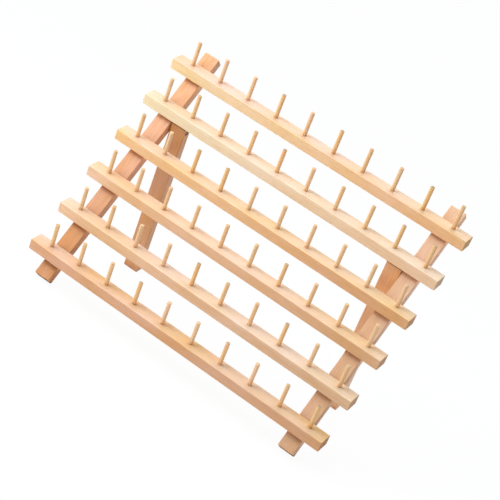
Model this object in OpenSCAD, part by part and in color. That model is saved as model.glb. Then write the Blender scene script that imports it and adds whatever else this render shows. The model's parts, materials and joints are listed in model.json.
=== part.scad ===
// Thread spool rack: pegged rails set at an angle into two notched uprights, with a folding leg
// screwed to the inner side of each upright.
// The rack is laid out in a panel frame: x along the rails, y up the uprights and z out of the
// front, with the middle of the peg field at the origin. It then leans back until the uprights
// and the legs stand on the table. All lengths are in millimetres and all angles in degrees.

/* [Pegs] */
// Number of pegs on a rail
pegs_per_rail = 10; // [6:1:12]
// Distance from one peg to the next
peg_pitch = 40; // [32:0.5:50]
// Diameter of a peg
peg_d = 4.8; // [4:0.1:6]
// Length of a peg that stands out of its rail
peg_stand = 30; // [20:0.5:45]
// Length of the bevel around a peg's tip
peg_bevel = 0.5; // [0.2:0.1:1]
// Amount by which a peg's glued end is thinner than the rest
peg_neck = 0.8; // [0.4:0.1:1.2]
// Wood left in the rail under a peg's hole
peg_floor = 4; // [2:0.5:6]
// Distance of the peg row behind the middle of the rail's face
peg_setback = 1.3; // [0:0.1:3]

/* [Rails] */
// Distance from one rail to the next
rail_spacing = 53; // [46:0.5:70]
// Depth of the face that holds the pegs
rail_depth = 19; // [16:0.5:24]
// Thickness of a rail behind that face
rail_thick = 13; // [11:0.5:18]
// Length of rail beyond the last peg
rail_end = 22; // [16:0.5:30]
// Angle by which the pegs tip up from a line square to the uprights
rail_tilt = 45; // [38:1:52]

/* [Uprights] */
// Width of an upright across its front
upright_w = 20; // [16:0.5:26]
// Thickness of an upright from front to back
upright_t = 12; // [11:0.5:18]
// Distance from the last peg in to the middle of an upright
upright_inset = 9; // [7:0.5:14]
// Length of an upright above the top row of pegs
upright_rise = 24; // [16:0.5:60]
// Length of an upright below the bottom row of pegs
upright_drop = 34; // [26:0.5:60]
// Depth of the notch that a rail sits in
notch_depth = 6.9; // [5:0.1:8]
// Angle by which the uprights lean back on the open legs
lean = 31.2; // [26:0.1:40]

/* [Legs] */
// Width of a leg, along the rails
leg_w = 20; // [14:0.5:26]
// Thickness of a leg
leg_t = 12; // [10.5:0.5:15]
// Distance from the pivot to the rail that stops the leg, beyond half the leg's thickness
pivot_margin = 1.1; // [0.6:0.1:4]

/* [Screws] */
// Diameter of a pivot screw
pivot_d = 4; // [3:0.1:5]
// Depth of a pivot screw in its upright
pivot_bite = 15; // [10:0.5:15.5]
// Diameter of a pivot screw's head
pivot_head_d = 6.6; // [6:0.1:8.5]
// Height of a pivot screw's head
pivot_head_h = 1.9; // [1.7:0.1:4]
// Depth of a pivot screw's head below the side of its leg
head_sink = 0.2; // [0.1:0.1:1]
// Outer diameter of a washer
washer_d = 7.8; // [7:0.1:9]
// Thickness of a washer
washer_t = 1; // [0.6:0.1:2]
// Diameter of a rail screw
rail_screw_d = 3; // [2.4:0.1:3.6]
// Diameter of a rail screw's head
rail_screw_head_d = 6; // [5:0.1:7]
// Length of a rail screw
rail_screw_len = 18; // [13:0.5:20]
// Distance of a rail screw below the root of its notch
rail_screw_low = 2.4; // [2:0.1:3]
// Width of the cross slot in a screw's head
slot_w = 0.9; // [0.5:0.1:1.2]
// Depth of the cross slot in a screw's head
slot_depth = 1.2; // [0.6:0.1:1.6]

/* [Fits] */
// Bevel along the wooden bars
edge_ease = 0.8; // [0.3:0.1:1.5]
// Bevel around the ends of the wooden bars
end_ease = 1.2; // [0.3:0.1:2]
// Gap for glue around pegs, rails and screw threads
glue_gap = 0.05; // [0.02:0.01:0.1]
// Radial clearance of a pivot screw in its leg
pivot_clear = 0.05; // [0.02:0.01:0.1]
// Clearance of a leg between its washers, on each side
side_clear = 0.05; // [0.02:0.01:0.2]
// Clearance between a leg's top end and the rail that stops it
stop_clear = 0.05; // [0.02:0.01:0.2]
// Radial clearance of a washer around its screw
washer_clear = 0.15; // [0.05:0.05:0.5]
// Radial clearance of a pivot screw's head and washer in the recess of their leg
recess_clear = 0.3; // [0.1:0.1:0.5]

/* [Hidden] */
$fn = 48;

rail_count = 6;
// number of rails above a leg's pivot; the last of them stops the leg
rails_above_count = 2;
left = -1;
right = 1;
// overshoot of a cutting shape past the face it leaves by
over = 1;
// share of a screw head's width that its cross slot spans
slot_share = 0.55;
rail_wood = "#edc998";
peg_wood = "#e6c187";
upright_wood = "#e0a97c";
leg_wood = "#c98f5a";
dull_steel = "#827c75";
bright_steel = "#a9a9a4";

// points in the plane across the rails are [y, z] in the panel frame
function tipped(p) = [
    p.x * cos(rail_tilt) + p.y * sin(rail_tilt),
    p.y * cos(rail_tilt) - p.x * sin(rail_tilt)
];
function rail_y(i) = ((rail_count + 1) / 2 - i) * rail_spacing;
// height and distance to the back of such a point once the rack leans
function level(p) = p.x * cos(lean) + p.y * sin(lean);
function reach(p) = p.x * sin(lean) - p.y * cos(lean);

// rail section, with its origin where a peg leaves the face: y to the back, z along the peg
rail_back = rail_depth / 2 - peg_setback;
rail_front = rail_depth / 2 + peg_setback;
peg_field = (pegs_per_rail - 1) * peg_pitch;
rail_len = peg_field + 2 * rail_end;
peg_seat = rail_thick - peg_floor;
neck_d = peg_d - peg_neck;

// a rail's back lower edge lies at the root of its notch
notch_root = tipped([rail_back, -rail_thick]);
upright_front = notch_root.y + notch_depth;
upright_back = upright_front - upright_t;
upright_x = peg_field / 2 - upright_inset;
upright_inner = upright_x - upright_w / 2;
upright_top = rail_y(1) + upright_rise;
upright_foot = rail_y(rail_count) - upright_drop;

// the pivot lies halfway through the upright, below the underside of the rail that stops the leg
pivot_z = upright_front - upright_t / 2;
pivot_drop = leg_t / 2 + pivot_margin;
pivot_depth = rail_thick + pivot_drop;
pivot_back = -(pivot_z + pivot_depth * cos(rail_tilt)) / sin(rail_tilt);
pivot = [rail_y(rails_above_count), 0] + tipped([pivot_back, -pivot_depth]);

// leg section: y to the back and z up the leg, from the pivot; square to the rail's underside
// the leg's front edge and the upright's back edge stand on one level
upright_toe = [upright_foot, upright_back + end_ease];
leg_rake = rail_tilt + lean;
leg_top = pivot_drop - stop_clear;
leg_foot = (level(upright_toe - pivot) + (leg_t / 2 - end_ease) * cos(leg_rake)) / sin(leg_rake);
leg_len = leg_top - leg_foot;
// the front half of the leg's top is clipped, so that it swings clear of the rail
leg_clip = sqrt(leg_top * leg_top - leg_t * leg_t / 4) - 2 * stop_clear;
clip_rise = over * (leg_top - leg_clip) / (leg_t / 2);
leg_outer = upright_inner - washer_t - side_clear;
leg_inner = leg_outer - leg_w;
// the pivot screw's head and its washer lie in a round recess in the leg's inner side
recess_d = max(washer_d, pivot_head_d) + 2 * recess_clear;
head_seat = leg_inner + head_sink + pivot_head_h;
recess_depth = head_sink + pivot_head_h + washer_t + side_clear;
pivot_len = upright_inner + pivot_bite - head_seat;

// the foremost and hindmost edges of the leaning rack
last_row = [rail_y(rail_count), 0];
front_reach = min(
    reach([upright_foot + end_ease, upright_front]),
    reach(last_row + tipped([-rail_front, -edge_ease])),
    reach(last_row + tipped([-peg_d / 2, peg_stand - peg_bevel]))
);
back_reach = max(
    reach([upright_top - end_ease, upright_back]),
    reach(pivot + tipped([leg_t / 2, leg_foot + end_ease]))
);

// puts the panel frame on the table, centred from front to back
module standing() {
    translate([0, -(front_reach + back_reach) / 2, -level(upright_toe)])
        rotate([90 - lean, 0, 0])
            children();
}

// puts a rail's section frame in the panel
module at_rail(i) {
    translate([0, rail_y(i), 0])
        rotate([-rail_tilt, 0, 0])
            children();
}

// puts a leg's section frame in the panel
module at_pivot() {
    translate([0, pivot.x, pivot.y])
        rotate([-rail_tilt, 0, 0])
            children();
}

// a shape drawn for the right-hand side, or its mirror image for the left
module on_side(side) {
    if (side == left)
        mirror([1, 0, 0])
            children();
    else
        children();
}

// turns a shape drawn along +z to lie along +x
module along_x() {
    rotate([0, 90, 0])
        children();
}

// a rectangle between two corners with bevelled corners
module eased(low, high, ease) {
    polygon([
        [low.x + ease, low.y], [high.x - ease, low.y],
        [high.x, low.y + ease], [high.x, high.y - ease],
        [high.x - ease, high.y], [low.x + ease, high.y],
        [low.x, high.y - ease], [low.x, low.y + ease]
    ]);
}

// a wooden bar along +z with a section between two corners, and bevels on all its edges
module bar(length, low, high) {
    intersection() {
        linear_extrude(length)
            eased(low, high, edge_ease);
        translate([low.x, 0, 0])
            rotate([90, 0, 90])
                linear_extrude(high.x - low.x)
                    eased([low.y, 0], [high.y, length], end_ease);
        translate([0, high.y, 0])
            rotate([90, 0, 0])
                linear_extrude(high.y - low.y)
                    eased([low.x, 0], [high.x, length], end_ease);
    }
}

// copies a shape to every peg's place along a rail
module each_peg() {
    for (k = [0 : pegs_per_rail - 1])
        translate([k * peg_pitch - peg_field / 2, 0, 0])
            children();
}

// a countersunk rail screw, or its hole when grown by a gap, from the back of its upright
module rail_screw_body(gap) {
    shank_r = rail_screw_d / 2 + gap;
    head_r = rail_screw_head_d / 2 + gap;
    rotate_extrude()
        polygon([
            [0, 0], [head_r, 0],
            [shank_r, head_r - shank_r],
            [shank_r, rail_screw_len - rail_screw_d],
            [0, rail_screw_len + gap]
        ]);
}

// copies a shape to the rail screw of one rail on one side
module at_rail_screw(i, side) {
    translate([side * upright_x, rail_y(i) + notch_root.x - rail_screw_low, upright_back])
        children();
}

// a cross slot to cut into a screw's head, sunk below z = 0
module cross_slot(length) {
    for (turn = [0, 90])
        rotate([0, 0, turn])
            translate([-length / 2, -slot_w / 2, -over])
                cube([length, slot_w, slot_depth + over]);
}

module rail(i) {
    color(rail_wood)
        standing()
            difference() {
                at_rail(i)
                    difference() {
                        translate([-rail_len / 2, 0, 0])
                            rotate([90, 0, 90])
                                bar(rail_len, [-rail_front, -rail_thick], [rail_back, 0]);
                        each_peg()
                            translate([0, 0, -peg_seat])
                                cylinder(d = neck_d + 2 * glue_gap, h = peg_seat + over);
                    }
                for (side = [left, right])
                    at_rail_screw(i, side)
                        rail_screw_body(glue_gap);
            }
}

module pegs(i) {
    peg_r = peg_d / 2;
    color(peg_wood)
        standing()
            at_rail(i)
                each_peg()
                    rotate_extrude()
                        polygon([
                            [0, glue_gap - peg_seat], [neck_d / 2, glue_gap - peg_seat],
                            [neck_d / 2, 0], [peg_r, 0],
                            [peg_r, peg_stand - peg_bevel], [peg_r - peg_bevel, peg_stand],
                            [0, peg_stand]
                        ]);
}

module upright(side) {
    color(upright_wood)
        standing()
            difference() {
                translate([side * upright_x, upright_top, 0])
                    rotate([90, 0, 0])
                        bar(
                            upright_top - upright_foot,
                            [-upright_w / 2, upright_back],
                            [upright_w / 2, upright_front]
                        );
                for (i = [1 : rail_count]) {
                    at_rail(i)
                        translate([side * upright_x - upright_w, rail_back + glue_gap, -rail_thick - glue_gap])
                            mirror([0, 1, 0])
                                cube([2 * upright_w, rail_depth + over, rail_depth + over]);
                    at_rail_screw(i, side)
                        rail_screw_body(glue_gap);
                }
                on_side(side)
                    translate([upright_inner - over, pivot.x, pivot.y])
                        along_x()
                            cylinder(d = pivot_d + 2 * glue_gap, h = pivot_bite + over + glue_gap);
            }
}

module leg(side) {
    color(leg_wood)
        standing()
            on_side(side)
                at_pivot()
                    difference() {
                        translate([leg_inner, 0, leg_foot])
                            bar(leg_len, [0, -leg_t / 2], [leg_w, leg_t / 2]);
                        translate([leg_inner - over, 0, 0])
                            along_x()
                                cylinder(d = pivot_d + 2 * pivot_clear, h = leg_w + 2 * over);
                        translate([leg_inner - over, 0, 0])
                            along_x()
                                cylinder(d = recess_d, h = recess_depth + over);
                        translate([leg_inner - over, 0, 0])
                            rotate([90, 0, 90])
                                linear_extrude(leg_w + 2 * over)
                                    polygon([
                                        [over, leg_top + clip_rise],
                                        [-leg_t / 2 - over, leg_clip - clip_rise],
                                        [-leg_t / 2 - over, leg_top + clip_rise]
                                    ]);
                    }
}

module rail_screws(side) {
    color(bright_steel)
        standing()
            for (i = [1 : rail_count])
                at_rail_screw(i, side)
                    difference() {
                        rail_screw_body(0);
                        cross_slot(rail_screw_head_d * slot_share);
                    }
}

module pivot_screw(side) {
    head_r = pivot_head_d / 2;
    crown = pivot_head_h / 3;
    color(dull_steel)
        standing()
            on_side(side)
                translate([head_seat, pivot.x, pivot.y])
                    along_x()
                        difference() {
                            rotate_extrude()
                                polygon([
                                    [0, -pivot_head_h], [head_r - 2 * crown, -pivot_head_h],
                                    [head_r - crown / 2, crown - pivot_head_h], [head_r, 2 * crown - pivot_head_h],
                                    [head_r, 0], [pivot_d / 2, 0],
                                    [pivot_d / 2, pivot_len - pivot_d / 2], [0, pivot_len]
                                ]);
                            translate([0, 0, -pivot_head_h])
                                cross_slot(pivot_head_d * slot_share);
                        }
}

// a washer on the pivot screw, with its inner face at x
module washer(side, x) {
    color(dull_steel)
        standing()
            on_side(side)
                translate([x, pivot.x, pivot.y])
                    along_x()
                        difference() {
                            cylinder(d = washer_d, h = washer_t);
                            translate([0, 0, -over])
                                cylinder(d = pivot_d + 2 * washer_clear, h = washer_t + 2 * over);
                        }
}

module head_washer(side) {
    washer(side, head_seat);
}

module spacer_washer(side) {
    washer(side, upright_inner - washer_t);
}

rail(1);  // rail_1
rail(2);  // rail_2
rail(3);  // rail_3
rail(4);  // rail_4
rail(5);  // rail_5
rail(6);  // rail_6
pegs(1);  // pegs_1
pegs(2);  // pegs_2
pegs(3);  // pegs_3
pegs(4);  // pegs_4
pegs(5);  // pegs_5
pegs(6);  // pegs_6
upright(left);  // left_upright
upright(right);  // right_upright
leg(left);  // left_leg
leg(right);  // right_leg
rail_screws(left);  // left_rail_screws
rail_screws(right);  // right_rail_screws
pivot_screw(left);  // left_pivot_screw
pivot_screw(right);  // right_pivot_screw
head_washer(left);  // left_head_washer
head_washer(right);  // right_head_washer
spacer_washer(left);  // left_spacer_washer
spacer_washer(right);  // right_spacer_washer
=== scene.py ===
"""Looks of the thread spool rack: rounded wooden bars, turned pegs, steel screws, light, floor, camera."""

import json
import math

import bmesh
import bpy
from mathutils import Matrix, Vector


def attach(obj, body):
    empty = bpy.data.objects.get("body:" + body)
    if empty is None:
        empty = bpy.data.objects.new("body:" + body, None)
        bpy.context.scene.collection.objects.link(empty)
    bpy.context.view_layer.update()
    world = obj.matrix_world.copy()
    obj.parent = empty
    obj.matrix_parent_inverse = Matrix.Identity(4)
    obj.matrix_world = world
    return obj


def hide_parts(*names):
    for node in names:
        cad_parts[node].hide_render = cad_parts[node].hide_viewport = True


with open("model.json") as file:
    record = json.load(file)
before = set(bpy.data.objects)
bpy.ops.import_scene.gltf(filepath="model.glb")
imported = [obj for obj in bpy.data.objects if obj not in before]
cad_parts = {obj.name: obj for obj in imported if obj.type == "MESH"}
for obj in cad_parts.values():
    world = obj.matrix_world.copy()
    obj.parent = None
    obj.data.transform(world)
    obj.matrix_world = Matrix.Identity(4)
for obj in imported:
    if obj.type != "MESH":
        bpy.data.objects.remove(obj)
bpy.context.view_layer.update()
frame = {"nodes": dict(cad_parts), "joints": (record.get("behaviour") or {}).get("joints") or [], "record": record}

MM = 0.001

SIDES = ("left", "right")
SQUARE_CORNERS = ((-1, -1), (1, -1), (1, 1), (-1, 1))

# rounding of the wood, how finely it is drawn, and the angle above which an edge stays sharp
BAR_ROUND = 1.0 * MM
LEAST_BAR_ROUND = BAR_ROUND / 3
END_ROUND = 1.5 * MM
RAIL_END_ROUND = 1.0 * MM
PEG_ROUND = 0.5 * MM
ROUND_STEPS = 4
QUARTER_TURN = math.radians(90)
PEG_SIDES = 32
SCREW_SIDES = 40
STATION_GAP = 40 * MM
SHARP_ANGLE = math.radians(40)
FLAT_FACE_WEIGHT = 100

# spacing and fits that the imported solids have, how far up or down from a rail its own screws are looked for,
# the eased edge of a head's recess, and how far cutting shapes reach and overshoot
PEG_PITCH = 40 * MM
RAIL_SCREW_REACH = 20 * MM
GLUE_GAP = 0.05 * MM
WASHER_GAP = 3 * GLUE_GAP
NECK_STEP = 0.4 * MM
CLIP_GAP = 0.1 * MM
RECESS_GAP = 0.3 * MM
RECESS_EASE = 0.3 * MM
NOTCH_REACH = 25 * MM
OVER = 1 * MM

# screws: the cross slot, the rounding of steel edges, the dome of a pivot screw's head, the stretch at its
# tip where the shank is measured, and the small rings that close flat ends and points, as shares of a radius
SLOT_WIDTH = 0.9 * MM
SLOT_DEPTH = 1.2 * MM
SLOT_SHARE = 0.55
STEEL_ROUND = 0.2 * MM
DOME_STEPS = 6
DOME_FLAT = 0.25
DOME_HEIGHT = 0.66
DOME_POWER = 0.8
SHANK_TIP = 5 * MM
FLAT_MIDDLE = 0.02
RAIL_SCREW_POINT = 0.05
PIVOT_SCREW_POINT = 0.1

# colours of the wood, as written in a picture, and seeds that place each piece in the grain. The rails'
# tables run from the top rail down: the colour at the left end, which is darker on the lower rails; what
# each channel is multiplied by on the face with the pegs, painted light that makes it paler or darker as
# the light from above falls on it; and how much is left at the right end, painted shade where the light
# falls off. The uprights have their colour at the top and what is left of it at the foot, painted shade
# where the light falls off
RAIL_TONES = (
    (255, 218, 162),
    (255, 230, 191),
    (255, 204, 142),
    (247, 201, 157),
    (248, 204, 162),
    (226, 167, 117),
)
# painted light: each rail's face with the pegs made paler or darker as the light from above falls on it
RAIL_TOP_PAINTED_LIGHT = (
    (0.84, 0.73, 0.87),
    (0.88, 0.79, 0.83),
    (0.86, 0.91, 1.15),
    (0.90, 0.96, 1.05),
    (0.86, 0.95, 1.12),
    (0.98, 1.19, 1.39),
)
# painted shade: each rail darker towards its right end, where the light falls off
RAIL_FAR_SHADE = (
    (1.00, 0.81, 0.84),
    (1.00, 0.84, 0.77),
    (0.86, 0.75, 0.77),
    (0.88, 0.80, 0.65),
    (0.92, 0.94, 0.94),
    (0.97, 0.98, 0.93),
)
RAIL_SEEDS = (41, 52, 13, 24, 35, 36)
PEG_TONE = (245, 199, 142)
PEG_SEED_BASE = 20
UPRIGHT_TONES = {"left": (243, 188, 148), "right": (252, 206, 167)}
# painted shade: each upright darker towards its foot, where the light falls off
UPRIGHT_FOOT_SHADE = {"left": (0.78, 0.69, 0.54), "right": (0.84, 0.80, 0.76)}
UPRIGHT_SEEDS = {"left": 58, "right": 47}
# painted light: the right leg's colour is lighter than the left's, standing in for the light that falls on it
LEG_TONES = {"left": (219, 158, 96), "right": (251, 194, 141)}
LEG_SEEDS = {"left": 60, "right": 66}
UNCHANGED = (1.0, 1.0, 1.0)

# how each kind of wood is finished: strength of rings and streaks, width of a ring, strength of flecks,
# share of colour left on sawn ends and at the far end of the grain, the latter painted shade where the light
# falls off, the same for faces turned up where it differs, which is painted light from above, weight of the
# satin coat, and shine
RAIL_LOOK = {
    "figure": 0.75,
    "ring_gap": 2.6 * MM,
    "flecks": 0.75,
    "end": (0.57, 0.46, 0.38),
    # painted light from above on the face with the pegs, changed towards the right end
    "far_top_light": (1.05, 1.13, 1.10),
    "coat": 0.4,
    "shine": 0.5,
}
PEG_LOOK = {
    "figure": 0.45,
    "ring_gap": 1.9 * MM,
    "flecks": 0.1,
    "end": (0.42, 0.50, 0.62),
    "far": UNCHANGED,
    "coat": 0.0,
    "shine": 0.5,
}
UPRIGHT_LOOK = {
    "figure": 0.8,
    "ring_gap": 2.6 * MM,
    "flecks": 0.55,
    "end": (0.62, 0.54, 0.48),
    "coat": 0.0,
    "shine": 0.2,
}
LEG_LOOK = {
    "figure": 1.0,
    "ring_gap": 3.2 * MM,
    "flecks": 0.55,
    "end": (0.62, 0.54, 0.48),
    "far": UNCHANGED,
    "coat": 0.3,
    "shine": 0.5,
}

# grain: how far one seed moves it, the palest and deepest wood as shares of the mean colour, the heart that
# the rings lie about, how far they wobble, and where in a ring the late wood sets in and ends
SEED_STEP = (0.61, 0.23, 0.37)
PALE_WOOD = (1.05, 1.09, 1.15)
DEEP_WOOD = (0.86, 0.74, 0.60)
HEART = (0, 0.031, 0.047)
RING_WOBBLE = 7 * MM
LATE_WOOD = (0.35, 0.92)
RING_END = (1.0, 0.94)

# noises in the grain: waves per metre along it and across it, and detail; for marks also the values of the
# noise between which they come out
WOBBLE_RATES = (5, 40, 2.0)
CLOUD_RATES = (11, 30, 2.0)
STREAKS = ((5, 150, 2.0), (0.3, 0.7))
FIBRES = ((60, 480, 3.0), (0.25, 0.75))
FLECKS = ((330, 2100, 1.0), (0.66, 0.74))
PORES = ((40, 1500, 1.0), (0.5, 0.7))
NOISE_ROUGHNESS = 0.5

# what the marks do to the colour, and how the clouds shift it
RING_SHARE = 0.22
STREAK_SHARE = 0.22
FIBRE_SHARE = 0.32
FLECK_TINT = (0.80, 0.70, 0.60)
HUE_LIMITS = (0.3, 0.7)
HUE_SHIFT = (0.496, 0.504)
CLOUD_LIMITS = (0.25, 0.75)
SATURATION_SHIFT = (0.88, 1.12)
VALUE_SHIFT = (1.02, 0.96)

# pegs differ by chance: a number for each, its place in the grain, its saturation and how dark its tip is
PEG_NUMBER_START = 10
PEG_NUMBER_STEP = 13.7
PEG_ALONG_SHIFT = 3.0
PEG_SIDE_SHIFT = 0.7
PEG_SATURATION = 0.88
PEG_SATURATION_SPREAD = 0.22
PEG_TIP_SHARES = (0.36, 1.27)

# which faces count as turned up (for the painted light from above) or as sawn ends, how deep the ends are
# stained, how edges are rubbed pale, and how painted shade darkens creases
TURNED_UP = (0.5, 0.95)
SAWN_END = (0.55, 0.95)
END_SHARE = 0.75
PORE_SHARE = 0.15
WORN_LIMITS = (0.998, 0.93)
WORN_SAMPLES = 4
WOOD_WEAR = 0.9 * MM
WOOD_WEAR_SHARE = 0.20
WORN_WOOD = (1.04, 1.06, 1.10)
# painted shade in creases and under the rails, where little light gets in
CREASE_SHADE_REACH = 9 * MM
CREASE_SHADE_SAMPLES = 8
CREASE_SHADE_LIMITS = (0.80, 0.35)
CREASE_SHADE_SHARE = 0.75
CREASE_SHADE_TINT = (0.70, 0.56, 0.46)

# surface of the wood
WOOD_ROUGHNESS = 0.42
FIBRE_ROUGHNESS = 0.12
END_ROUGHNESS = 0.18
FIBRE_HEIGHT = 0.5
FLECK_DEPTH = 0.6
RING_HEIGHT = 0.35
WOOD_BUMP = {"Strength": 0.30, "Distance": 0.12 * MM}
COAT_ROUGHNESS = 0.30

# steel: colour, colour of worn edges and roughness of each kind, then blotches, scratches and wear of both
STEEL_LOOKS = {
    "dull_steel": ((158, 149, 139), (205, 199, 190), 0.30),
    "bright_steel": ((178, 178, 172), (215, 214, 208), 0.20),
}
BLOTCH_RATES = (420, 420, 420)
BLOTCH_DETAIL = 3.0
BLOTCH_LIMITS = (0.3, 0.7)
BLOTCH_TINT = (0.72, 0.70, 0.68)
SCRATCH_RATES = (350, 2600, 2600)
SCRATCH_DETAIL = 2.0
SCRATCH_ROUGHNESS = 0.25
STEEL_WEAR = 0.35 * MM
STEEL_WEAR_SHARE = 0.7
STEEL_BUMP = {"Strength": 0.25, "Distance": 0.03 * MM}
STEEL_METALLIC = 0.9

# camera: where it stands, what it looks at, how far it is rolled, and its lens
UP = Vector((0, 0, 1))
CAMERA_PLACE = Vector((0.49948, -1.44302, 0.68545))
CAMERA_AIM = Vector((0.00507, -0.00159, 0.13726))
CAMERA_ROLL = math.radians(27.066)
CAMERA_LENS = 105.125

# light and floor
WORLD_LIGHT = 0.18
LIGHT_AIM = Vector((0, 0, 0.14))
KEY_PLACE = Vector((-0.66, -0.54, 0.98))
KEY_SIZE = 0.7
KEY_POWER = 10.2
TOP_WAY_IN = Vector((0.15, -0.20, -0.97))
TOP_SPREAD = math.radians(60)
TOP_STRENGTH = 1.9
TOP_TINT = (0.93, 1.00, 1.12)
FLOOR_HALF = 12
FLOOR_DROP = 0.1 * MM
FLOOR_TONE = (251, 251, 250)
FLOOR_ROUGHNESS = 0.9
FLOOR_WHITE_SHARE = 0.95

# sizes and directions of the rack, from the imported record; at rest the legs lie the same way as the pegs
mounts = {mount["name"]: mount for mount in frame["record"]["mounts"]}
rail_count = sum(name.startswith("left_peg") for name in mounts)
rows = range(1, rail_count + 1)
across = Vector((1, 0, 0))
peg_way = Vector(mounts["left_peg_1"]["axis"])
back_way = peg_way.cross(across)
peg_length = mounts["left_peg_1"]["dims"]["length_mm"] * MM
peg_radius = mounts["left_peg_1"]["dims"]["r_mm"] * MM
rise_way = Vector(mounts["left_peg_1"]["pos_m"]) - Vector(mounts[f"left_peg_{rail_count}"]["pos_m"])
rise_way.normalize()
out_way = across.cross(rise_way)

rail_ways = (across, back_way, peg_way)
upright_ways = (rise_way, across, out_way)
peg_ways = (peg_way, across, back_way)
leg_ways = peg_ways

body_of = {node: body for body, nodes in frame["record"]["behaviour"]["bodies"].items() for node in nodes}
hinge_of = {joint["child"]: Vector(joint["pos_m"]) for joint in frame["joints"]}


def peg_base(row, side="left"):
    """Where the outermost peg of a row leaves its rail."""
    return Vector(mounts[f"{side}_peg_{row}"]["pos_m"]) - peg_way * peg_length / 2


def span(node, way):
    """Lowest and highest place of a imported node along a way."""
    places = [vertex.co.dot(way) for vertex in frame["nodes"][node].data.vertices]
    return min(places), max(places)


def spans(node, ways):
    """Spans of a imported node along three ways."""
    return [span(node, way) for way in ways]


def half_width(node, way):
    """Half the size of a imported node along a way."""
    low, high = span(node, way)
    return (high - low) / 2


def linear(tone):
    """A colour as written in a picture, turned into light by the sRGB curve."""
    def channel(value):
        value = value / 255
        return value / 12.92 if value <= 0.04045 else ((value + 0.055) / 1.055) ** 2.4
    return tuple(channel(value) for value in tone) + (1.0,)


def scaled(colour, *factors):
    """A colour with each channel multiplied by its factor."""
    return tuple(min(1.0, value * factor) for value, factor in zip(colour, factors)) + (1.0,)


# meshes

def rounded_rectangle(low, high, corner):
    """Points round a rectangle between two corners, with its own corners rounded."""
    points = []
    for quarter in range(4):
        middle = (
            high[0] - corner if quarter in (0, 3) else low[0] + corner,
            high[1] - corner if quarter in (0, 1) else low[1] + corner,
        )
        for step in range(ROUND_STEPS + 1):
            angle = QUARTER_TURN * (quarter + step / ROUND_STEPS)
            points.append((middle[0] + corner * math.cos(angle), middle[1] + corner * math.sin(angle)))
    return points


def bar_stations(start, end, end_round):
    """Places along a bar with how far the section is drawn in there: rounded at both ends."""
    stations = []
    for step in range(ROUND_STEPS + 1):
        angle = QUARTER_TURN * step / ROUND_STEPS
        stations.append((end_round * (1 - math.cos(angle)), end_round * (1 - math.sin(angle))))
    length = end - start
    count = round(length / STATION_GAP)
    between = [(length * (k + 0.5) / count, 0.0) for k in range(count)]
    far = [(length - place, inset) for place, inset in reversed(stations)]
    return [(start + place, inset) for place, inset in stations + between + far]


def band(bm, rings):
    """Faces between each ring of vertices and the next."""
    for low, high in zip(rings, rings[1:]):
        for k in range(len(low)):
            after = (k + 1) % len(low)
            bm.faces.new((low[k], low[after], high[after], high[k]))


def skin(bm, rings):
    """Faces between rings of vertices, and a cap on the first and the last."""
    band(bm, rings)
    bm.faces.new(reversed(rings[0]))
    bm.faces.new(rings[-1])


def rounded_bar(ways, extents, end_round=END_ROUND):
    """A bar along the first of three ways, with rounded edges and ends."""
    along, side, depth = ways
    (start, end), side_span, depth_span = extents
    bm = bmesh.new()
    rings = []
    for place, inset in bar_stations(start, end, end_round):
        low = (side_span[0] + inset, depth_span[0] + inset)
        high = (side_span[1] - inset, depth_span[1] - inset)
        points = rounded_rectangle(low, high, max(BAR_ROUND - inset, LEAST_BAR_ROUND))
        rings.append([bm.verts.new(along * place + side * a + depth * b) for a, b in points])
    skin(bm, rings)
    return bm


def side_ways(way):
    """Two directions square to a way and to each other."""
    first = way.orthogonal().normalized()
    return first, way.cross(first)


def ways_round(way, sides):
    """Evenly spaced directions all round a way."""
    first, second = side_ways(way)
    angles = [math.tau * k / sides for k in range(sides)]
    return [first * math.cos(angle) + second * math.sin(angle) for angle in angles]


def turned(bm, profile, foot, way, sides):
    """A lathe shape: a profile of (radius, height) turned about a way from a foot point."""
    outwards = ways_round(way, sides)
    rings = []
    for radius, height in profile:
        centre = foot + way * height
        rings.append([bm.verts.new(centre + outward * radius) for outward in outwards])
    skin(bm, rings)


def tube(bm, profile, foot, way, sides):
    """A closed ring: a closed profile of (radius, height) turned about a way."""
    rings = []
    for outward in ways_round(way, sides):
        rings.append([bm.verts.new(foot + way * height + outward * radius) for radius, height in profile])
    band(bm, rings + rings[:1])


def prism(bm, points, x_low, x_high):
    """A shape with the same outline all across the rack, from points in the plane across the rails."""
    rings = []
    for x in (x_low, x_high):
        rings.append([bm.verts.new(point + across * (x - point.x)) for point in points])
    skin(bm, rings)


def block(bm, centre, ways, sizes):
    """A box at a centre, with sizes along three ways, to cut with."""
    half = [way * size / 2 for way, size in zip(ways, sizes)]
    corners = []
    for end in (-1, 1):
        ring = []
        for a, b in SQUARE_CORNERS:
            ring.append(bm.verts.new(centre + half[0] * a + half[1] * b + half[2] * end))
        corners.append(ring)
    skin(bm, corners)


def rounded_tip(radius, high, corner):
    """The upper end of a round bar for turning: its rounded edge and its flat top."""
    points = []
    for step in range(ROUND_STEPS + 1):
        angle = QUARTER_TURN * step / ROUND_STEPS
        points.append((radius - corner + corner * math.cos(angle), high - corner + corner * math.sin(angle)))
    points.append((FLAT_MIDDLE * radius, high))
    return points


def add_object(name, data):
    """A new object in the scene."""
    made = bpy.data.objects.new(name, data)
    bpy.context.scene.collection.objects.link(made)
    return made


def as_object(name, bm):
    """An object in the scene from mesh code."""
    bmesh.ops.recalc_face_normals(bm, faces=bm.faces)
    mesh = bpy.data.meshes.new(name)
    bm.to_mesh(mesh)
    bm.free()
    return add_object(name, mesh)


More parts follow.
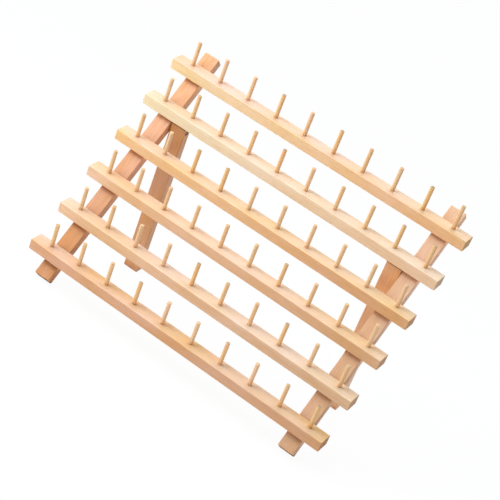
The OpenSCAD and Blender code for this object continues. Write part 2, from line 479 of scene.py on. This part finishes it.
def cut(target, bm):
    """Cuts a shape out of an object."""
    cutter = as_object(f"{target.name}_cutter", bm)
    modifier = target.modifiers.new("cut", "BOOLEAN")
    modifier.operation = "DIFFERENCE"
    modifier.solver = "EXACT"
    modifier.object = cutter
    result = target.evaluated_get(bpy.context.evaluated_depsgraph_get())
    mesh = bpy.data.meshes.new_from_object(result)
    target.modifiers.clear()
    old = target.data
    target.data = mesh
    bpy.data.meshes.remove(old)
    bpy.data.objects.remove(cutter)


def dress(made, node, material):
    """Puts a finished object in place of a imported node, with its material and smooth rounding."""
    made.data.materials.clear()
    made.data.materials.append(material)
    made.data.shade_smooth()
    made.data.set_sharp_from_angle(angle=SHARP_ANGLE)
    weighted = made.modifiers.new("flat faces", "WEIGHTED_NORMAL")
    weighted.keep_sharp = True
    weighted.weight = FLAT_FACE_WEIGHT
    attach(made, body_of[node])
    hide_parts(node)


# materials

class Graph:
    """The nodes of one material, added one at a time."""

    def __init__(self, name):
        self.material = bpy.data.materials.new(name)
        self.material.use_nodes = True
        self.tree = self.material.node_tree
        self.shader = self.tree.nodes["Principled BSDF"]

    def feed(self, node, inputs):
        """Sets a node's inputs, each from a value or from another node's output."""
        for key, value in inputs.items():
            if isinstance(value, bpy.types.NodeSocket):
                self.tree.links.new(value, node.inputs[key])
            else:
                node.inputs[key].default_value = value

    def add(self, kind, inputs, output=0, **settings):
        """A new node with its settings and inputs; gives one of its outputs."""
        node = self.tree.nodes.new(kind)
        for name, value in settings.items():
            setattr(node, name, value)
        self.feed(node, inputs)
        return node.outputs[output]

    def math(self, operation, first, second=0.0):
        """A sum on two numbers, named as Blender names it."""
        return self.add("ShaderNodeMath", {0: first, 1: second}, operation=operation)

    def vector(self, operation, first, second=(0, 0, 0), output="Vector"):
        """A sum on two vectors, named as Blender names it."""
        return self.add("ShaderNodeVectorMath", {0: first, 1: second}, output, operation=operation)

    def dot(self, first, second):
        """How far one vector reaches along another."""
        return self.vector("DOT_PRODUCT", first, second, "Value")

    def ranged(self, value, low, high, to_low=0.0, to_high=1.0):
        """A value eased from one range to another and kept inside it."""
        inputs = {0: value, 1: low, 2: high, 3: to_low, 4: to_high}
        return self.add("ShaderNodeMapRange", inputs, interpolation_type="SMOOTHSTEP")

    def mixed(self, share, first, second, blend="MIX"):
        """Two colours mixed by a share. The node's sockets share their names, so they go by number."""
        inputs = {0: share, 6: first, 7: second}
        return self.add("ShaderNodeMix", inputs, 2, data_type="RGBA", blend_type=blend)

    def tinted(self, colour, tint):
        """A colour with each channel multiplied by its own factor."""
        return self.mixed(1.0, colour, (*tint, 1.0), "MULTIPLY")

    def noise(self, vector, detail):
        """Smooth noise at a place that is already scaled."""
        inputs = {"Vector": vector, "Scale": 1.0, "Detail": detail, "Roughness": NOISE_ROUGHNESS}
        return self.add("ShaderNodeTexNoise", inputs)

    def worn_edge(self, radius):
        """How far a point lies into an edge, from the difference a small bevel would make."""
        bevelled = self.add("ShaderNodeBevel", {"Radius": radius}, samples=WORN_SAMPLES)
        plain = self.add("ShaderNodeNewGeometry", {}, "Normal")
        return self.ranged(self.dot(bevelled, plain), *WORN_LIMITS)


def wood(name, ways, tone, seed, look, extent, top_light_paint=UNCHANGED, piece_gap=None):
    """Fine-grained pale wood with its grain along the first of three ways.

    The extent gives the near and the far end of the grain, and piece_gap tells pegs apart. The colour also
    carries painted light: shade towards the far end, light on faces turned up, and shade in creases.
    """
    graph = Graph(name)
    tone = linear(tone)
    pale = scaled(tone, *PALE_WOOD)
    deep = scaled(tone, *DEEP_WOOD)
    point = graph.add("ShaderNodeTexCoord", {}, "Object")
    normal = graph.add("ShaderNodeTexCoord", {}, "Normal")
    moved = graph.vector("ADD", point, [step * seed for step in SEED_STEP])
    along, side, depth = (graph.dot(moved, way) for way in ways)
    if piece_gap:
        shifted = graph.math("ADD", graph.dot(point, across), PEG_NUMBER_START * piece_gap)
        number = graph.math("FLOOR", graph.math("DIVIDE", shifted, piece_gap))
        number = graph.math("ADD", number, PEG_NUMBER_STEP * seed)
        chance = graph.add("ShaderNodeTexWhiteNoise", {"W": number}, noise_dimensions="1D")
        along = graph.math("ADD", along, graph.math("MULTIPLY", chance, PEG_ALONG_SHIFT))
        side = graph.math("ADD", side, graph.math("MULTIPLY", chance, PEG_SIDE_SHIFT))
    grain = graph.add("ShaderNodeCombineXYZ", {0: along, 1: side, 2: depth})

    def grain_noise(along_rate, cross_rate, detail):
        """Noise drawn out along the grain, with rates in waves per metre."""
        stretched = graph.vector("MULTIPLY", grain, (along_rate, cross_rate, cross_rate))
        return graph.noise(stretched, detail)

    def marks(rates, limits):
        """Marks that come out where such noise rises from one limit to the other."""
        return graph.ranged(grain_noise(*rates), *limits)

    # growth rings about a heart that lies to the side of the piece
    wobble = graph.math("MULTIPLY", grain_noise(*WOBBLE_RATES), RING_WOBBLE)
    heart = graph.vector("ADD", grain, HEART)
    outward = graph.vector("MULTIPLY", heart, (0.0, 1.0, 1.0))
    radius = graph.math("ADD", graph.vector("LENGTH", outward, output="Value"), wobble)
    turn = graph.math("FRACT", graph.math("DIVIDE", radius, look["ring_gap"]))
    rings = graph.math("MULTIPLY", graph.ranged(turn, *LATE_WOOD), graph.ranged(turn, *RING_END))

    streaks = marks(*STREAKS)
    fibres = marks(*FIBRES)
    flecks = marks(*FLECKS)
    clouds = grain_noise(*CLOUD_RATES)

    share = graph.math("MULTIPLY", rings, RING_SHARE * look["figure"])
    share = graph.math("ADD", share, graph.math("MULTIPLY", streaks, STREAK_SHARE * look["figure"]))
    share = graph.math("ADD", share, graph.math("MULTIPLY", fibres, FIBRE_SHARE))
    colour = graph.mixed(share, pale, deep)
    fleck_share = graph.math("MULTIPLY", flecks, look["flecks"])
    colour = graph.mixed(fleck_share, colour, graph.tinted(colour, FLECK_TINT))
    shade = {
        "Hue": graph.ranged(clouds, *HUE_LIMITS, *HUE_SHIFT),
        "Saturation": graph.ranged(clouds, *CLOUD_LIMITS, *SATURATION_SHIFT),
        "Value": graph.ranged(clouds, *CLOUD_LIMITS, *VALUE_SHIFT),
        "Color": colour,
    }
    if piece_gap:
        spread = graph.math("MULTIPLY", chance, PEG_SATURATION_SPREAD)
        shade["Saturation"] = graph.math("ADD", spread, PEG_SATURATION)
    colour = graph.add("ShaderNodeHueSaturation", shade)

    # painted shade darkens the colour towards the far end of the grain, where the light falls off, and
    # painted light makes faces turned up paler or darker as the light from above falls on them
    near, far = extent
    falloff_shade = graph.ranged(graph.dot(point, ways[0]), near, far)
    far_top_light = look.get("far_top_light", look["far"])
    far_top_light_paint = [left * change for left, change in zip(top_light_paint, far_top_light)]
    top_light_blend = graph.mixed(falloff_shade, (*top_light_paint, 1.0), (*far_top_light_paint, 1.0))
    top_lit_colour = graph.mixed(1.0, colour, top_light_blend, "MULTIPLY")
    colour = graph.mixed(falloff_shade, colour, graph.tinted(colour, look["far"]))
    colour = graph.mixed(graph.ranged(graph.dot(normal, peg_way), *TURNED_UP), colour, top_lit_colour)

    # sawn ends drink the finish and turn darker, handled edges are rubbed paler, and creases get painted shade
    end = graph.ranged(graph.math("ABSOLUTE", graph.dot(normal, ways[0])), *SAWN_END)
    stain = graph.math("ADD", graph.math("MULTIPLY", marks(*PORES), PORE_SHARE), END_SHARE)
    if piece_gap:
        stain = graph.math("MULTIPLY", stain, graph.ranged(chance, 0.0, 1.0, *PEG_TIP_SHARES))
    colour = graph.mixed(graph.math("MULTIPLY", end, stain), colour, graph.tinted(colour, look["end"]))
    edge = graph.math("MULTIPLY", graph.worn_edge(WOOD_WEAR), WOOD_WEAR_SHARE)
    colour = graph.mixed(edge, colour, scaled(pale, *WORN_WOOD))
    # painted shade: the colour darkens where little light gets in, in creases and under the rails
    reach = {"Distance": CREASE_SHADE_REACH}
    openness = graph.add("ShaderNodeAmbientOcclusion", reach, "AO", samples=CREASE_SHADE_SAMPLES)
    crease_shade = graph.ranged(openness, *CREASE_SHADE_LIMITS, 0.0, CREASE_SHADE_SHARE)
    colour = graph.mixed(crease_shade, colour, graph.tinted(colour, CREASE_SHADE_TINT))

    rough = graph.math("ADD", graph.math("MULTIPLY", fibres, FIBRE_ROUGHNESS), WOOD_ROUGHNESS)
    rough = graph.math("ADD", rough, graph.math("MULTIPLY", end, END_ROUGHNESS))
    raised = graph.math("MULTIPLY", fibres, FIBRE_HEIGHT)
    height = graph.math("SUBTRACT", raised, graph.math("MULTIPLY", flecks, FLECK_DEPTH))
    height = graph.math("ADD", height, graph.math("MULTIPLY", rings, RING_HEIGHT))
    bump = graph.add("ShaderNodeBump", {**WOOD_BUMP, "Height": height})
    graph.feed(graph.shader, {"Base Color": colour, "Roughness": rough, "Normal": bump})
    coat = graph.math("MULTIPLY", graph.math("SUBTRACT", 1.0, end), look["coat"])
    graph.feed(graph.shader, {"Coat Weight": coat, "Coat Roughness": COAT_ROUGHNESS})
    graph.feed(graph.shader, {"Specular IOR Level": look["shine"]})
    return graph.material


def steel(name):
    """Steel with fine turned scratches, blotchy plating and bright worn edges."""
    tone, worn_tone, roughness = STEEL_LOOKS[name]
    graph = Graph(name)
    point = graph.add("ShaderNodeTexCoord", {}, "Object")
    blotch = graph.noise(graph.vector("MULTIPLY", point, BLOTCH_RATES), BLOTCH_DETAIL)
    scratch = graph.noise(graph.vector("MULTIPLY", point, SCRATCH_RATES), SCRATCH_DETAIL)
    blotched = scaled(linear(tone), *BLOTCH_TINT)
    colour = graph.mixed(graph.ranged(blotch, *BLOTCH_LIMITS), linear(tone), blotched)
    worn = graph.math("MULTIPLY", graph.worn_edge(STEEL_WEAR), STEEL_WEAR_SHARE)
    colour = graph.mixed(worn, colour, linear(worn_tone))
    rough = graph.math("ADD", graph.math("MULTIPLY", scratch, SCRATCH_ROUGHNESS), roughness)
    bump = graph.add("ShaderNodeBump", {**STEEL_BUMP, "Height": scratch})
    graph.feed(graph.shader, {"Base Color": colour, "Roughness": rough, "Normal": bump})
    graph.feed(graph.shader, {"Metallic": STEEL_METALLIC})
    return graph.material


# places and cutting shapes where pieces meet

def peg_places(row):
    """Where each peg of a row leaves its rail."""
    left, right = peg_base(row, "left"), peg_base(row, "right")
    gaps = round((right - left).length / PEG_PITCH)
    return [left.lerp(right, k / gaps) for k in range(gaps + 1)]


def peg_holes(row):
    """Holes for the necks of a row's pegs, to cut with."""
    depth = peg_base(row).dot(peg_way) - span(f"pegs_{row}", peg_way)[0] + GLUE_GAP
    radius = peg_radius - NECK_STEP + GLUE_GAP
    holes = bmesh.new()
    for place in peg_places(row):
        turned(holes, [(radius, -depth), (radius, OVER)], place, peg_way, PEG_SIDES)
    return holes


def screw_places(side):
    """Where each rail screw of one side meets the back of its upright, from the top down."""
    node = f"{side}_rail_screws"
    rises = [vertex.co.dot(rise_way) for vertex in frame["nodes"][node].data.vertices]
    head = span(node, out_way)[0]
    middle = sum(span(node, across)) / 2
    places = []
    for row in rows:
        level = peg_base(row).dot(rise_way)
        near = [rise for rise in rises if abs(rise - level) < RAIL_SCREW_REACH]
        places.append(across * middle + rise_way * (min(near) + max(near)) / 2 + out_way * head)
    return places


def countersunk(radius, length, gap=0.0):
    """Outline of a countersunk screw from the flat of its head, or of its hole when grown by a gap."""
    shank = radius / 2
    top = -OVER if gap else 0.0
    return [
        (FLAT_MIDDLE * radius, top),
        (radius + gap, top),
        (radius + gap, 0.0),
        (shank + gap, shank),
        (shank + gap, length - 2 * shank),
        (RAIL_SCREW_POINT * shank, length + gap),
    ]


def screw_holes(side, chosen_rows):
    """Holes for the rail screws of some rows, to cut with."""
    node = f"{side}_rail_screws"
    low, high = span(node, out_way)
    profile = countersunk(half_width(node, across), high - low, GLUE_GAP)
    places = screw_places(side)
    holes = bmesh.new()
    for row in chosen_rows:
        turned(holes, profile, places[row - 1], out_way, SCREW_SIDES)
    return holes


def rail_notches(x_low, x_high):
    """The V notches for all rails in an upright, to cut with."""
    notches = bmesh.new()
    corners = ((0, 0), (-NOTCH_REACH, 0), (-NOTCH_REACH, NOTCH_REACH), (0, NOTCH_REACH))
    for row in rows:
        back = span(f"rail_{row}", back_way)[1] + GLUE_GAP
        under = span(f"rail_{row}", peg_way)[0] - GLUE_GAP
        points = [back_way * (back + a) + peg_way * (under + b) for a, b in corners]
        prism(notches, points, x_low - OVER, x_high + OVER)
    return notches


def driven_way(side):
    """The way a pivot screw is driven, from the inner side of its leg outwards."""
    return across if side == "right" else -across


def on_axis(side, x):
    """The point on a leg's hinge axis at a place across the rack."""
    hinge = hinge_of[f"{side}_leg"]
    return Vector((x, hinge.y, hinge.z))


def shank_radius(side):
    """Radius of a pivot screw's shank, from its vertices near the tip."""
    node = f"{side}_pivot_screw"
    hinge = hinge_of[f"{side}_leg"]
    driven = driven_way(side)
    tip = span(node, driven)[1]
    places = [vertex.co for vertex in frame["nodes"][node].data.vertices]
    near = [place for place in places if tip - place.dot(driven) < SHANK_TIP]
    return max(math.hypot(place.y - hinge.y, place.z - hinge.z) for place in near)


def pivot_bore(side, x_low, x_high):
    """The hole for a pivot screw's shank between two places across the rack, to cut with."""
    radius = shank_radius(side) + GLUE_GAP
    bore = bmesh.new()
    turned(bore, [(radius, 0), (radius, x_high - x_low)], on_axis(side, x_low), across, SCREW_SIDES)
    return bore


def head_recess(side):
    """The recess for a pivot screw's head and washer in its leg's inner side, to cut with."""
    washer = f"{side}_head_washer"
    driven = driven_way(side)
    radius = half_width(washer, rise_way) + RECESS_GAP
    face = span(f"{side}_leg", driven)[0]
    depth = span(washer, driven)[1] + GLUE_GAP - face + OVER
    start = on_axis(side, driven.x * (face - OVER))
    flare = OVER + RECESS_EASE
    recess = bmesh.new()
    turned(recess, [(radius + flare, 0), (radius, flare), (radius, depth)], start, driven, SCREW_SIDES)
    return recess


def leg_clip(side):
    """What a leg's top loses in front, so that it clears the rail as the leg turns, to cut with."""
    node = f"{side}_leg"
    (_, top), (x_low, x_high), (front, back) = spans(node, leg_ways)
    reach = top - hinge_of[node].dot(peg_way)
    half = (back - front) / 2
    drop = reach - math.sqrt(reach * reach - half * half) + CLIP_GAP
    middle = (front + back) / 2
    slope = drop / half
    outline = (
        (middle + OVER, top + OVER * slope),
        (front - OVER, top - drop - OVER * slope),
        (front - OVER, top + OVER),
        (middle + OVER, top + OVER),
    )
    clip = bmesh.new()
    prism(clip, [back_way * a + peg_way * b for a, b in outline], x_low - OVER, x_high + OVER)
    return clip


# pieces

def make_rail(row):
    """A pegged bar across the rack, with holes for its pegs and for a screw at each upright."""
    node = f"rail_{row}"
    extents = spans(node, rail_ways)
    made = as_object(f"{node}_wood", rounded_bar(rail_ways, extents, RAIL_END_ROUND))
    cut(made, peg_holes(row))
    for side in SIDES:
        cut(made, screw_holes(side, [row]))
    tables = (RAIL_TONES, RAIL_TOP_PAINTED_LIGHT, RAIL_FAR_SHADE, RAIL_SEEDS)
    tone, top_light_paint, far, seed = (table[row - 1] for table in tables)
    # sawn ends are tuned on the right one, where the painted shade has already taken its share
    end = [share / falloff_shade for share, falloff_shade in zip(RAIL_LOOK["end"], far)]
    look = {**RAIL_LOOK, "far": far, "end": end}
    dress(made, node, wood(f"rail_wood_{row}", rail_ways, tone, seed, look, extents[0], top_light_paint))


def make_pegs(row):
    """A row of round pegs, each with a thinner neck in the rail and a rounded tip."""
    node = f"pegs_{row}"
    low, high = span(node, peg_way)
    base = peg_base(row).dot(peg_way)
    neck = peg_radius - NECK_STEP
    profile = [(FLAT_MIDDLE * neck, low - base), (neck, low - base), (neck, 0), (peg_radius, 0)]
    profile += rounded_tip(peg_radius, high - base, PEG_ROUND)
    places = peg_places(row)
    bm = bmesh.new()
    for place in places:
        turned(bm, profile, place, peg_way, PEG_SIDES)
    made = as_object(f"{node}_wood", bm)
    pitch = (places[1] - places[0]).length
    seed = PEG_SEED_BASE + row
    material = wood(f"peg_wood_{row}", peg_ways, PEG_TONE, seed, PEG_LOOK, (high, low), piece_gap=pitch)
    dress(made, node, material)


def make_upright(side):
    """A bar that the rails are let into, with holes for their screws and for its pivot screw."""
    node = f"{side}_upright"
    extents = spans(node, upright_ways)
    (foot, top), (x_low, x_high), _ = extents
    made = as_object(f"{node}_wood", rounded_bar(upright_ways, extents))
    cut(made, rail_notches(x_low, x_high))
    cut(made, screw_holes(side, rows))
    screw_low, screw_high = span(f"{side}_pivot_screw", across)
    cut(made, pivot_bore(side, screw_low - GLUE_GAP, screw_high + GLUE_GAP))
    tone, seed = UPRIGHT_TONES[side], UPRIGHT_SEEDS[side]
    look = {**UPRIGHT_LOOK, "far": UPRIGHT_FOOT_SHADE[side]}
    dress(made, node, wood(f"{side}_upright_wood", upright_ways, tone, seed, look, (top, foot)))


def make_leg(side):
    """A bar that swings on its pivot screw, whose head and washer lie in a recess."""
    node = f"{side}_leg"
    extents = spans(node, leg_ways)
    (foot, top), (x_low, x_high), _ = extents
    made = as_object(f"{node}_wood", rounded_bar(leg_ways, extents))
    cut(made, leg_clip(side))
    cut(made, pivot_bore(side, x_low - OVER, x_high + OVER))
    cut(made, head_recess(side))
    tone, seed = LEG_TONES[side], LEG_SEEDS[side]
    dress(made, node, wood(f"{side}_leg_wood", leg_ways, tone, seed, LEG_LOOK, (top, foot)))


def sink_slots(made, places, way, length):
    """Sinks two crossed slots into the head of each screw, one way at a time."""
    first, second = side_ways(way)
    sizes = (length, SLOT_WIDTH, SLOT_DEPTH + OVER)
    for long_way, short_way in ((first, second), (second, first)):
        slots = bmesh.new()
        for place in places:
            block(slots, place + way * (SLOT_DEPTH - OVER) / 2, (long_way, short_way, way), sizes)
        cut(made, slots)


def make_pivot_screw(side, material):
    """A screw with a domed head on its washer, a cross slot, a plain shank and a blunt point."""
    node = f"{side}_pivot_screw"
    driven = driven_way(side)
    start, end = span(node, driven)
    length = end - start
    head_radius = half_width(node, rise_way)
    rim = span(f"{side}_head_washer", driven)[0] - start
    shank = shank_radius(side)
    profile = []
    for step in range(DOME_STEPS + 1):
        angle = QUARTER_TURN * step / DOME_STEPS
        bulge = head_radius * (DOME_FLAT + (1 - DOME_FLAT) * math.sin(angle))
        profile.append((bulge, DOME_HEIGHT * rim * (1 - math.cos(angle)) ** DOME_POWER))
    profile += [
        (head_radius, rim - STEEL_ROUND),
        (head_radius - STEEL_ROUND, rim),
        (shank, rim),
        (shank, length - shank),
        (PIVOT_SCREW_POINT * shank, length),
    ]
    foot = on_axis(side, driven.x * start)
    bm = bmesh.new()
    turned(bm, profile, foot, driven, SCREW_SIDES)
    made = as_object(f"{node}_steel", bm)
    sink_slots(made, [foot], driven, 2 * head_radius * SLOT_SHARE)
    dress(made, node, material)


def make_rail_screws(side, material):
    """The countersunk screws that hold all rails in one upright."""
    node = f"{side}_rail_screws"
    low, high = span(node, out_way)
    radius = half_width(node, across)
    bm = bmesh.new()
    for place in screw_places(side):
        turned(bm, countersunk(radius, high - low), place, out_way, SCREW_SIDES)
    made = as_object(f"{node}_steel", bm)
    sink_slots(made, screw_places(side), out_way, 2 * radius * SLOT_SHARE)
    dress(made, node, material)


def make_washer(node, side, material):
    """A washer on a pivot screw, with its outer edges rounded off."""
    low, high = span(node, across)
    thickness = high - low
    outer = half_width(node, rise_way)
    inner = shank_radius(side) + WASHER_GAP
    profile = [
        (outer - STEEL_ROUND, 0.0),
        (outer, STEEL_ROUND),
        (outer, thickness - STEEL_ROUND),
        (outer - STEEL_ROUND, thickness),
        (inner, thickness),
        (inner, 0.0),
    ]
    bm = bmesh.new()
    tube(bm, profile, on_axis(side, low), across, SCREW_SIDES)
    dress(as_object(f"{node}_steel", bm), node, material)


def make_rack():
    """All pieces of the rack."""
    for row in rows:
        make_rail(row)
        make_pegs(row)
    dull_steel = steel("dull_steel")
    bright_steel = steel("bright_steel")
    for side in SIDES:
        make_upright(side)
        make_leg(side)
        make_pivot_screw(side, dull_steel)
        make_rail_screws(side, bright_steel)
        make_washer(f"{side}_head_washer", side, dull_steel)
        make_washer(f"{side}_spacer_washer", side, dull_steel)


# stage

def seen_rays(tree):
    """One for rays from the camera, or mirrored or let through on their way from it, and zero for light."""
    path = tree.nodes.new("ShaderNodeLightPath")
    total = path.outputs["Is Camera Ray"]
    for name in ("Is Glossy Ray", "Is Transmission Ray"):
        larger = tree.nodes.new("ShaderNodeMath")
        larger.operation = "MAXIMUM"
        tree.links.new(total, larger.inputs[0])
        tree.links.new(path.outputs[name], larger.inputs[1])
        total = larger.outputs[0]
    return total


def make_floor():
    """A pale floor that shows nearly white and keeps a light shadow."""
    bm = bmesh.new()
    bm.faces.new([bm.verts.new((FLOOR_HALF * x, FLOOR_HALF * y, -FLOOR_DROP)) for x, y in SQUARE_CORNERS])
    floor = as_object("floor", bm)
    graph = Graph("floor")
    tree = graph.tree
    graph.feed(graph.shader, {"Base Color": linear(FLOOR_TONE), "Roughness": FLOOR_ROUGHNESS})
    graph.feed(graph.shader, {"Specular IOR Level": 0.0})
    white = tree.nodes.new("ShaderNodeEmission")
    share = graph.math("MULTIPLY", seen_rays(tree), FLOOR_WHITE_SHARE)
    mix = tree.nodes.new("ShaderNodeMixShader")
    tree.links.new(share, mix.inputs[0])
    tree.links.new(graph.shader.outputs[0], mix.inputs[1])
    tree.links.new(white.outputs[0], mix.inputs[2])
    tree.links.new(mix.outputs[0], tree.nodes["Material Output"].inputs["Surface"])
    floor.data.materials.append(graph.material)


def make_world():
    """Even white light, which the camera sees as white."""
    world = bpy.data.worlds.new("world")
    world.use_nodes = True
    tree = world.node_tree
    strength = tree.nodes.new("ShaderNodeMapRange")
    tree.links.new(seen_rays(tree), strength.inputs["Value"])
    strength.inputs["To Min"].default_value = WORLD_LIGHT
    strength.inputs["To Max"].default_value = 1.0
    background = tree.nodes["Background"]
    background.inputs["Color"].default_value = (1, 1, 1, 1)
    tree.links.new(strength.outputs[0], background.inputs["Strength"])
    bpy.context.scene.world = world


def turned_to(way, up):
    """A rotation that looks along a way with a given direction upwards in the picture."""
    way = way.normalized()
    right = way.cross(up).normalized()
    return Matrix((right, right.cross(way), -way)).transposed().to_4x4()


def make_lamp(name, place, size, power):
    """A soft square lamp that faces the rack."""
    lamp = bpy.data.lights.new(name, "AREA")
    lamp.shape = "SQUARE"
    lamp.size = size
    lamp.energy = power
    made = add_object(name, lamp)
    made.matrix_world = Matrix.Translation(place) @ turned_to(LIGHT_AIM - place, UP)


def make_wide_light(name, way_in, spread, strength, tint):
    """Soft light that comes from one side of the room."""
    lamp = bpy.data.lights.new(name, "SUN")
    lamp.angle = spread
    lamp.energy = strength
    lamp.color = tint
    made = add_object(name, lamp)
    made.matrix_world = turned_to(way_in, UP)


def make_camera():
    """The camera that sees the rack as the photograph does."""
    camera = bpy.data.cameras.new("camera")
    camera.lens = CAMERA_LENS
    made = add_object("camera", camera)
    look = CAMERA_AIM - CAMERA_PLACE
    roll = Matrix.Rotation(CAMERA_ROLL, 4, "Z")
    made.matrix_world = Matrix.Translation(CAMERA_PLACE) @ turned_to(look, UP) @ roll
    bpy.context.scene.camera = made


make_rack()
make_floor()
make_world()
make_lamp("key", KEY_PLACE, KEY_SIZE, KEY_POWER)
make_wide_light("top", TOP_WAY_IN, TOP_SPREAD, TOP_STRENGTH, TOP_TINT)
make_camera()
bpy.context.scene.view_settings.view_transform = "Standard"
